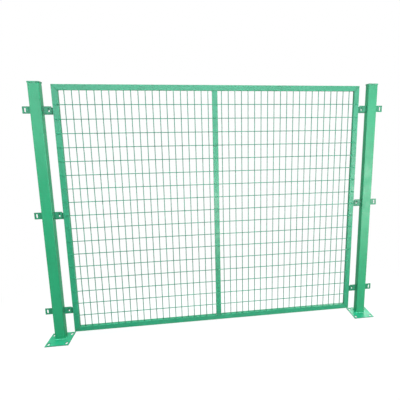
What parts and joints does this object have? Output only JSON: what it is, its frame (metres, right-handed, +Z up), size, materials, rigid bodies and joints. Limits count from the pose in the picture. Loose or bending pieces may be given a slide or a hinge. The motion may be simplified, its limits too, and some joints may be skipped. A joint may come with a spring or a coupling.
{
  "type": "welded mesh fence panel",
  "caption": "Framed welded wire mesh guard panel with a centre stile, hung by slotted tabs between two tube posts on bolt-down base plates.",
  "frame": {"origin": "centre of the left base plate's underside, on the floor", "axes": "+X along the fence to the right post, +Y from the mesh side to the back, +Z up"},
  "size_m": [2.672, 0.15, 1.95],
  "materials": {
    "green_powder_coat": "satin powder coat on steel",
    "green_coated_wire": "satin powder coat on steel wire",
    "green_cap_plastic": "moulded, satin"
  },
  "bodies": {
    "root": {"frame_left_stile": "green_powder_coat", "frame_right_stile": "green_powder_coat", "frame_top_rail": "green_powder_coat", "frame_bottom_rail": "green_powder_coat", "frame_centre_stile": "green_powder_coat", "mesh_left_bay": "green_coated_wire", "mesh_right_bay": "green_coated_wire", "left_post": "green_powder_coat", "left_base_plate": "green_powder_coat", "left_post_cap": "green_cap_plastic", "left_post_tabs_top": "green_powder_coat", "left_post_tabs_middle": "green_powder_coat", "left_post_tabs_bottom": "green_powder_coat", "frame_left_tabs": "green_powder_coat", "right_post": "green_powder_coat", "right_base_plate": "green_powder_coat", "right_post_cap": "green_cap_plastic", "right_post_tabs_top": "green_powder_coat", "right_post_tabs_middle": "green_powder_coat", "right_post_tabs_bottom": "green_powder_coat", "frame_right_tabs": "green_powder_coat"}
  },
  "joints": []
}
